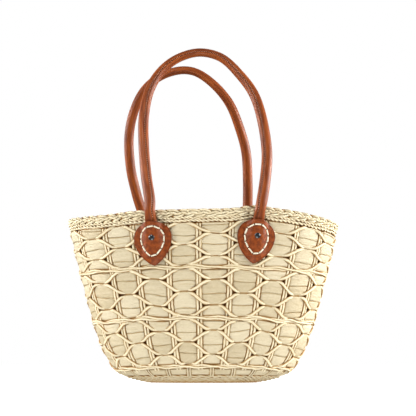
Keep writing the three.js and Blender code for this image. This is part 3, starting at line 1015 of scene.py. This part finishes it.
def make_patch(place, fixing, material):
    shape = Shape()
    fine = np.linspace(STITCH_SHARE - 0.1, STITCH_SHARE + 0.1, 17)
    shares = np.concatenate([np.linspace(0.02, 0.5, 16), fine, np.linspace(0.77, 0.93, 7)])
    bends = np.linspace(0, math.pi / 2, 6)
    edge_shares = 1 - EDGE_ROUND * (1 - np.sin(bends))
    edge_lifts = PATCH_THICKNESS - PATCH_THICKNESS * EDGE_DROP * (1 - np.cos(bends))
    under_shares = np.array([1, 0.985, 0.9, 0.5, 0.02])
    under_lifts = PATCH_THICKNESS * np.array([0.15, 0.0, 0.0, 0.0, 0.0])
    all_shares = np.concatenate([shares, edge_shares, under_shares])
    lifts = np.concatenate([PATCH_THICKNESS + 0 * shares, edge_lifts, under_lifts])
    angles = TURN * np.arange(PATCH_AROUND) / PATCH_AROUND
    angle, share = np.meshgrid(angles, all_shares)
    right, up = patch_place(angle, share)
    top = (np.arange(len(all_shares)) < len(shares))[:, None]
    near = np.min([np.hypot(right - r, up - u) for r, u in zip(*stitch_ends())], axis=0)
    channel = np.exp(-((share - STITCH_SHARE) / CHANNEL_WIDTH) ** 2) * top
    holes = np.exp(-(near / HOLE_RADIUS) ** 2) * top
    pad = PATCH_PAD * (1 - smooth_step(0.12, STITCH_SHARE, share)) * top
    lift = lifts[:, None] + pad - CHANNEL_DEPTH * channel - HOLE_DEPTH * holes
    points, _, _ = patch_point(fixing, right, up, underside_at(right, up) + lift)
    grain = np.stack([right, up, 0 * right + fixing["tilt"]], axis=-1)
    edge = smooth_step(0.9, 1.0, share)
    # Painted dark shade in the stitch channel and in the stitch holes
    crevice = np.maximum(0.5 * channel, holes)
    shape.add_grid(points, grain, 1 - edge, crevice)
    shape.finish("patch_leather_" + place, material, ["patch_" + place])


def make_thread(place, fixing, material):
    shape = Shape()
    hole_right, hole_up = stitch_ends()
    share = np.linspace(0, 1, 11)
    between_holes = lerp(0.07, 0.93, share)
    bow = 1 - (2 * share - 1) ** 6
    for number in range(STITCHES):
        right = lerp(hole_right[number], hole_right[number + 1], between_holes)
        up = lerp(hole_up[number], hole_up[number + 1], between_holes)
        offset = underside_at(right, up) + PATCH_THICKNESS + lerp(*THREAD_LIFTS, bow)
        points, normals, _ = patch_point(fixing, right, up, offset)
        sweep(shape, points, normals, 0 * offset, THREAD_HALF, number + 0.3, ply=0.06, lay=0.006)
    shape.finish("patch_thread_" + place, material, ["patch_" + place])


def rivet_outline(seat):
    """Radius and height of a rivet from its washer up to the top of its dome."""
    dome = RIVET_HEAD_RADIUS * DOME_SHARE
    washer_top = -WALL_THICKNESS - SEAM
    washer_low = washer_top - RIVET_WASHER_THICKNESS
    outline = [
        (RIVET_TIP, washer_low),
        (RIVET_WASHER_RADIUS, washer_low + 0.2 * MM),
        (RIVET_WASHER_RADIUS, washer_top),
        (RIVET_POST_RADIUS, washer_top),
        (RIVET_POST_RADIUS, seat - 0.5 * MM),
        (RIVET_HEAD_RADIUS * 0.9, seat - 0.5 * MM),
        (RIVET_HEAD_RADIUS, seat + 0.1 * MM),
        (RIVET_HEAD_RADIUS, seat + 0.5 * MM),
        (RIVET_HEAD_RADIUS * 0.98, seat + 0.7 * MM),
        (RIVET_HEAD_RADIUS * 0.95, seat + 0.75 * MM),
        (dome, seat + DOME_FOOT),
    ]
    for bend in np.linspace(0.1, 1, 9):
        angle = bend * math.pi / 2
        height = seat + DOME_FOOT + (RIVET_HEAD_HEIGHT - DOME_FOOT) * math.sin(angle)
        outline.append((max(dome * math.cos(angle), RIVET_TIP), height))
    return outline


def make_rivet(place, fixing, material):
    """A domed head in a ring on the patch, and a washer inside."""
    shape = Shape()
    seat = float(underside_at(np.array(0.0), np.array(0.0))) + PATCH_THICKNESS
    outline = rivet_outline(seat)
    centre, normal, _ = patch_point(fixing, [0.0], [0.0], 0.0)
    axis = normal[0]
    first = unit(np.cross(axis, np.array([0.0, 0.0, 1.0])))
    second = np.cross(axis, first)
    angles = TURN * np.arange(RIVET_AROUND) / RIVET_AROUND
    outwards = first * np.cos(angles)[:, None] + second * np.sin(angles)[:, None]
    points = np.array([centre[0] + axis * height + outwards * radius for radius, height in outline])
    dome = RIVET_HEAD_RADIUS * DOME_SHARE
    is_dome = np.array([radius <= dome and height > seat + 0.5 * MM for radius, height in outline])
    shape.add_grid(points, points, is_dome[:, None].astype(float), 0.0, capped=True)
    shape.finish("rivet_set_" + place, material, ["rivet_" + place])


# Handles

def handle_stations(line, left, right):
    """Points, outward directions, widths and thicknesses from one flat end to the other."""
    def end_rows(fixing):
        ups = along_patch(END_SECTIONS[:, 0])
        thick = TUBE_DIAMETER * END_SECTIONS[:, 2]
        points, normals, _ = patch_point(fixing, 0 * ups, ups, SEAM + thick / 2)
        return points, normals, TUBE_DIAMETER * END_SECTIONS[:, 1], thick

    left_end = end_rows(left)
    right_end = [values[::-1] for values in end_rows(right)]
    across, rise = np.array(line).T
    foot_depth = np.linspace(abs(left_end[0][-1, 1]), abs(right_end[0][0, 1]), len(line))
    depth = lerp(foot_depth, HANDLE_TOP_DEPTH, rise ** HANDLE_LEAN_POWER)
    side = left["side"]
    height = BASKET_HEIGHT + HANDLE_RISE * rise
    points = np.stack([HANDLE_HALF_SPAN * across, side * depth, height], axis=-1)
    outwards = np.tile([0.0, side, 0.0], (len(line), 1))
    wide = TUBE_DIAMETER * smooth_value(TUBE_SECTIONS, 1, rise)
    thick = TUBE_DIAMETER * smooth_value(TUBE_SECTIONS, 2, rise)
    middle = (points, outwards, wide, thick)
    return [np.concatenate(parts) for parts in zip(left_end, middle, right_end)]


def centripetal_curve(points, places):
    """Catmull-Rom curve through points, at places counted in points."""
    padded = np.concatenate([[2 * points[0] - points[1]], points, [2 * points[-1] - points[-2]]])
    index = np.clip(np.floor(places).astype(int), 0, len(points) - 2)
    part = (places - index)[:, None]
    p0, p1, p2, p3 = (padded[index + step] for step in range(4))
    gap0, gap1, gap2 = (np.linalg.norm(b - a, axis=1, keepdims=True) ** 0.5
                        for a, b in ((p0, p1), (p1, p2), (p2, p3)))
    start = ((p1 - p0) / gap0 - (p2 - p0) / (gap0 + gap1) + (p2 - p1) / gap1) * gap1
    end = ((p2 - p1) / gap1 - (p3 - p1) / (gap1 + gap2) + (p3 - p2) / gap2) * gap1
    square = -3 * p1 + 3 * p2 - 2 * start - end
    cube = 2 * p1 - 2 * p2 + start + end
    return p1 + start * part + square * part ** 2 + cube * part ** 3


def handle_path(line, left, right):
    """Points along a handle, with the axes, sizes, length so far and seam's turn at each."""
    stations = handle_stations(line, left, right)
    count = len(stations[0])
    places = np.linspace(0, count - 1, (count - 1) * STEPS_PER_STATION + 1)
    points = centripetal_curve(stations[0], places)
    numbers = np.arange(count)
    tangents = unit(np.gradient(points, axis=0))
    outwards = np.stack([np.interp(places, numbers, values) for values in stations[1].T], axis=-1)
    outwards = unit(outwards - tangents * np.sum(outwards * tangents, axis=1, keepdims=True))
    steps = np.linalg.norm(np.diff(points, axis=0), axis=1)
    rise = smooth_step(0.1, 0.95, (points[:, 2] - BASKET_HEIGHT) / HANDLE_RISE)
    return {
        "points": points,
        "in_plane": np.cross(outwards, tangents),
        "outwards": outwards,
        "wide": np.interp(places, numbers, stations[2]),
        "thick": np.interp(places, numbers, stations[3]),
        "length": np.concatenate([[0], np.cumsum(steps)]),
        "seam_at": math.pi / 2 - left["side"] * lerp(*SEAM_ANGLES, rise),
    }


def path_value(path, name, along):
    """A value of the path, by its name, at lengths along it."""
    columns = np.reshape(path[name], (len(path["length"]), -1)).T
    return np.stack([np.interp(along, path["length"], column) for column in columns], axis=-1)


def make_handle(name, line, left, right, node, leather, stitch):
    path = handle_path(line, left, right)
    across = path["in_plane"][:, None]
    outwards = path["outwards"][:, None]
    wide = path["wide"][:, None]
    thick = path["thick"][:, None]
    around = np.concatenate([SEAM_OFFSETS, np.linspace(0.42, TURN - 0.42, 31)])
    angles = path["seam_at"][:, None] + around
    from_seam = np.minimum(np.abs(around), TURN - np.abs(around))
    groove = np.exp(-(from_seam / GROOVE_WIDTH) ** 2)
    lip = np.exp(-((from_seam - LIP_PLACE) / LIP_WIDTH) ** 2)
    roundness = np.clip((thick / wide - 0.35) / 0.4, 0, 1)
    reach = 1 + (LIP_HEIGHT * lip - GROOVE_DEPTH * groove) * roundness
    loops = path["points"][:, None] + across * (np.cos(angles) * wide / 2 * reach)[..., None]
    loops = loops + outwards * (np.sin(angles) * thick / 2 * reach)[..., None]
    along = np.broadcast_to(path["length"][:, None], angles.shape)
    half = TUBE_DIAMETER / 2
    grain = np.stack([along, half * np.cos(angles), half * np.sin(angles)], axis=-1)
    shape = Shape()
    # Painted dark shade in the seam's groove
    shape.add_grid(loops, grain, 1.0, groove * roundness, capped=True)
    shape.finish(name, leather, [node])
    add_seam_stitches(name + "_stitches", path, node, stitch)


def add_seam_stitches(name, path, node, material):
    shape = Shape()
    whole = path["length"][-1]
    first = whole * SEAM_START
    count = int((whole - 2 * first) / STITCH_PITCH)
    for number in range(count):
        middle = first + number * STITCH_PITCH
        along = middle + np.linspace(-0.5, 0.5, 5) * STITCH_PITCH * SEAM_STITCH_SHARE
        across = path_value(path, "in_plane", along)
        outwards = path_value(path, "outwards", along)
        angle = path_value(path, "seam_at", along)
        half_wide = path_value(path, "wide", along) / 2
        half_thick = path_value(path, "thick", along) / 2
        normal = unit(across * np.cos(angle) + outwards * np.sin(angle))
        surface = path_value(path, "points", along) + across * np.cos(angle) * half_wide
        surface = surface + outwards * np.sin(angle) * half_thick
        points = surface + normal * SEAM_STITCH_LIFTS[:, None]
        sweep(shape, points, normal, 0 * along, SEAM_STITCH_HALF, number * 0.37 + 0.1, sides=6)
    shape.finish(name, material, [node])


# Materials

def add_node(tree, kind, settings=None, inputs=None):
    node = tree.nodes.new(kind)
    for name, value in (settings or {}).items():
        setattr(node, name, value)
    for name, value in (inputs or {}).items():
        if isinstance(value, bpy.types.NodeSocket):
            tree.links.new(value, node.inputs[name])
        else:
            node.inputs[name].default_value = value
    return node


def attribute(tree, name, output="Fac"):
    return add_node(tree, "ShaderNodeAttribute", {"attribute_name": name}).outputs[output]


def stretched_noise(tree, vector, stretch, detail=3.0, roughness=0.55):
    scaled = add_node(tree, "ShaderNodeVectorMath", {"operation": "MULTIPLY"}, {0: vector, 1: stretch})
    noise = add_node(tree, "ShaderNodeTexNoise", {}, {
        "Vector": scaled.outputs[0], "Scale": 1.0, "Detail": detail, "Roughness": roughness})
    return noise.outputs["Fac"]


def mapped(tree, value, low, high, to_low=0.0, to_high=1.0):
    node = add_node(tree, "ShaderNodeMapRange", {"interpolation_type": "SMOOTHSTEP"}, {
        "Value": value, "From Min": low, "From Max": high, "To Min": to_low, "To Max": to_high})
    return node.outputs["Result"]


def mixed(tree, factor, first, second):
    node = add_node(tree, "ShaderNodeMix", {"data_type": "RGBA"}, {0: factor})
    for slot, value in ((6, first), (7, second)):
        if isinstance(value, bpy.types.NodeSocket):
            tree.links.new(value, node.inputs[slot])
        else:
            node.inputs[slot].default_value = (*value, 1.0)
    return node.outputs[2]


def computed(tree, operation, first, second):
    return add_node(tree, "ShaderNodeMath", {"operation": operation}, {0: first, 1: second}).outputs[0]


def bumped(tree, height, strength, distance, normal=None):
    inputs = {"Height": height, "Strength": strength, "Distance": distance}
    if normal is not None:
        inputs["Normal"] = normal
    return add_node(tree, "ShaderNodeBump", {}, inputs).outputs["Normal"]


def new_material(name):
    material = bpy.data.materials.new(name)
    material.use_nodes = True
    tree = material.node_tree
    return material, tree, tree.nodes["Principled BSDF"]


def husk_material(name, pale, deep, brown):
    """Dry corn husk: long fibres, folds, and brown shade in the depth of the weave."""
    material, tree, shader = new_material(name)
    grain = attribute(tree, "grain", "Vector")
    folds = stretched_noise(tree, grain, FOLD_SCALE, 2.0)
    fibres = stretched_noise(tree, grain, FIBRE_SCALE, 3.0, 0.65)
    blotches = stretched_noise(tree, grain, BLOTCH_SCALE, 3.0)
    wrinkles = stretched_noise(tree, grain, WRINKLE_SCALE, 3.0, 0.65)
    tint = computed(tree, "ADD", computed(tree, "MULTIPLY", attribute(tree, "tone"), 0.45),
                    computed(tree, "MULTIPLY", computed(tree, "ADD", folds, wrinkles), 0.38))
    colour = mixed(tree, mapped(tree, tint, 0.3, 0.95), deep, pale)
    colour = mixed(tree, mapped(tree, fibres, 0.5, 0.85, 0.0, 0.35), colour, deep)
    colour = mixed(tree, mapped(tree, blotches, 0.62, 0.8, 0.0, 0.4), colour, GREEN_HUSK)
    # Painted shade: yellow-brown, then brown, then near black deeper in the crevices; the blotches add
    # a little random darkening
    shade = computed(tree, "ADD", attribute(tree, "crevice"),
                     computed(tree, "MULTIPLY", computed(tree, "SUBTRACT", blotches, 0.5), 0.35))
    colour = mixed(tree, mapped(tree, shade, 0.05, 0.45, 0.0, 0.85), colour, SHADED_HUSK)
    colour = mixed(tree, mapped(tree, shade, 0.3, 0.75, 0.0, 0.9), colour, brown)
    colour = mixed(tree, mapped(tree, shade, 0.7, 1.0), colour, DEEPEST_HUSK)
    tree.links.new(colour, shader.inputs["Base Color"])
    tree.links.new(mapped(tree, folds, 0.2, 0.8, 0.72, 0.5), shader.inputs["Roughness"])
    shader.inputs["Specular IOR Level"].default_value = 0.35
    normal = bumped(tree, folds, 0.7, 1.3 * MM)
    normal = bumped(tree, wrinkles, 0.8, 1.1 * MM, normal)
    normal = bumped(tree, fibres, 0.6, 0.4 * MM, normal)
    tree.links.new(normal, shader.inputs["Normal"])
    return material


def leather_material(name, light, dark, grain_size, cloud_scale, relief):
    """Waxed tan leather with a fine grain. Edges are darker, and grooves and holes get a nearly black
    painted shade. grain_size is the width of a pore's cell, and relief the strength of the bumps."""
    material, tree, shader = new_material(name)
    grain = attribute(tree, "grain", "Vector")
    clouds = stretched_noise(tree, grain, cloud_scale, 4.0, 0.6)
    pores = add_node(tree, "ShaderNodeTexVoronoi", {"feature": "DISTANCE_TO_EDGE"}, {
        "Vector": grain, "Scale": 1 / grain_size}).outputs["Distance"]
    fine = stretched_noise(tree, grain, FINE_GRAIN_SCALE, 2.0)
    edge_colour = (dark[0] * 0.6, dark[1] * 0.55, dark[2] * 0.5)
    worn_edge = mapped(tree, attribute(tree, "tone"), 1.0, 0.3, 0.0, 0.45)
    colour = mixed(tree, mapped(tree, clouds, 0.3, 0.7), dark, light)
    colour = mixed(tree, mapped(tree, pores, 0.0, 0.12, 0.35, 0.0), colour, dark)
    colour = mixed(tree, worn_edge, colour, edge_colour)
    # Painted near-black shade in grooves, channels and holes, by the crevice value
    depth = mapped(tree, attribute(tree, "crevice"), 0.1, 1.0, 0.0, 0.95)
    colour = mixed(tree, depth, colour, LEATHER_HOLE_SHADE)
    tree.links.new(colour, shader.inputs["Base Color"])
    gloss = mapped(tree, clouds, 0.2, 0.8, LEATHER_ROUGHNESS + 0.08, LEATHER_ROUGHNESS - 0.06)
    tree.links.new(gloss, shader.inputs["Roughness"])
    shader.inputs["Specular IOR Level"].default_value = 0.18
    normal = bumped(tree, clouds, 0.4 * relief, 0.5 * MM)
    normal = bumped(tree, mapped(tree, pores, 0.0, 0.2), 0.5 * relief, 0.12 * MM, normal)
    normal = bumped(tree, fine, 0.3 * relief, 0.08 * MM, normal)
    tree.links.new(normal, shader.inputs["Normal"])
    return material


def thread_material(name, light, dark):
    material, tree, shader = new_material(name)
    grain = attribute(tree, "grain", "Vector")
    fibres = stretched_noise(tree, grain, THREAD_SCALE, 2.0)
    colour = mixed(tree, mapped(tree, fibres, 0.35, 0.7), dark, light)
    tree.links.new(colour, shader.inputs["Base Color"])
    shader.inputs["Roughness"].default_value = 0.6
    tree.links.new(bumped(tree, fibres, 0.6, 0.2 * MM), shader.inputs["Normal"])
    return material


def metal_material(name):
    """A polished dark dome in a bright ring."""
    material, tree, shader = new_material(name)
    dome = attribute(tree, "tone")
    tree.links.new(mixed(tree, dome, RING_COLOUR, DOME_COLOUR), shader.inputs["Base Color"])
    tree.links.new(computed(tree, "SUBTRACT", 1.0, dome), shader.inputs["Metallic"])
    shader.inputs["Roughness"].default_value = 0.12
    shader.inputs["Specular IOR Level"].default_value = 0.9
    return material


# Stage: camera at the photograph's angle, white floor and soft light

def add_camera():
    data = bpy.data.cameras.new("camera")
    data.lens = CAMERA_LENS
    data.sensor_width = CAMERA_SENSOR
    camera = bpy.data.objects.new("camera", data)
    camera.location = CAMERA_PLACE
    camera.rotation_euler = (math.radians(90 + CAMERA_TILT), 0, 0)
    bpy.context.scene.collection.objects.link(camera)
    bpy.context.scene.camera = camera


def add_light(name, place, size, power):
    data = bpy.data.lights.new(name, "AREA")
    data.shape = "SQUARE"
    data.size = size
    data.energy = power
    lamp = bpy.data.objects.new(name, data)
    lamp.location = place
    aim = LIGHT_TARGET - Vector(place)
    lamp.rotation_euler = aim.to_track_quat("-Z", "Y").to_euler()
    bpy.context.scene.collection.objects.link(lamp)


def add_stage_piece(name, mesh, place):
    """A piece of the stage, seen by the camera and without effect on the light."""
    piece = bpy.data.objects.new(name, mesh)
    piece.location = place
    piece.visible_diffuse = False
    piece.visible_glossy = False
    piece.visible_shadow = False
    bpy.context.scene.collection.objects.link(piece)


def add_floor_plane():
    material, _, shader = new_material("white_floor")
    shader.inputs["Base Color"].default_value = (0.4, 0.4, 0.4, 1)
    shader.inputs["Roughness"].default_value = 0.9
    shader.inputs["Emission Color"].default_value = WHITE
    shader.inputs["Emission Strength"].default_value = FLOOR_GLOW
    half = FLOOR_PLANE_HALF
    mesh = bpy.data.meshes.new("floor")
    corners = [(-half, -half, 0), (half, -half, 0), (half, half, 0), (-half, half, 0)]
    mesh.from_pydata(corners, [], [(0, 1, 2, 3)])
    mesh.materials.append(material)
    add_stage_piece("floor", mesh, (0, 0, -0.05 * MM))


def add_backdrop():
    """A white dome round the floor."""
    material, tree, shader = new_material("white_backdrop")
    shader.inputs["Base Color"].default_value = (0, 0, 0, 1)
    shader.inputs["Specular IOR Level"].default_value = 0
    shader.inputs["Emission Color"].default_value = WHITE
    shader.inputs["Emission Strength"].default_value = 1.0
    mesh = bpy.data.meshes.new("backdrop")
    side = TURN * np.arange(BACKDROP_SIDES) / BACKDROP_SIDES
    rise = np.linspace(-0.05, math.pi / 2 - 0.02, BACKDROP_LOOPS)[:, None]
    level = BACKDROP_RADIUS * np.cos(rise)
    height = BACKDROP_RADIUS * np.sin(rise) + 0 * side
    points = np.stack([level * np.cos(side), level * np.sin(side), height], axis=-1)
    index = np.arange(BACKDROP_LOOPS * BACKDROP_SIDES).reshape(-1, BACKDROP_SIDES)
    index = np.concatenate([index, index[:, :1]], axis=1)
    faces = np.stack([index[:-1, :-1], index[1:, :-1], index[1:, 1:], index[:-1, 1:]], axis=-1)
    mesh.from_pydata(points.reshape(-1, 3).tolist(), [], faces.reshape(-1, 4).tolist())
    mesh.materials.append(material)
    add_stage_piece("backdrop", mesh, (0, 0, 0))


def add_stage():
    add_floor_plane()
    add_backdrop()
    world = bpy.data.worlds.new("studio")
    world.use_nodes = True
    background = world.node_tree.nodes["Background"]
    background.inputs["Color"].default_value = WHITE
    background.inputs["Strength"].default_value = WORLD_STRENGTH
    bpy.context.scene.world = world
    bpy.context.scene.view_settings.view_transform = "Standard"
    for light in LIGHTS:
        add_light(*light)


def build():
    husk = husk_material("husk", *HUSK_COLOURS)
    plait = husk_material("plaited_husk", *PLAIT_COLOURS)
    tube = leather_material("tan_leather", *TUBE_LEATHER)
    patch = leather_material("patch_leather", *PATCH_LEATHER)
    thread = thread_material("cream_thread", *CREAM_THREAD)
    seam_thread = thread_material("tan_thread", *TAN_THREAD)
    metal = metal_material("dark_rivet")
    make_wall_husk(husk)
    make_wall_strands(plait)
    make_wall_inside(husk)
    make_rim(plait)
    make_base(husk)
    make_floor(husk)
    for place, fixing in FIXINGS.items():
        make_patch(place, fixing, patch)
        make_thread(place, fixing, thread)
        make_rivet(place, fixing, metal)
    for place, line in (("front", FRONT_HANDLE_LINE), ("back", BACK_HANDLE_LINE)):
        make_handle("handle_tube_" + place, line, FIXINGS[place + "_left"],
                    FIXINGS[place + "_right"], "handle_" + place, tube, seam_thread)


add_camera()
add_stage()
build()
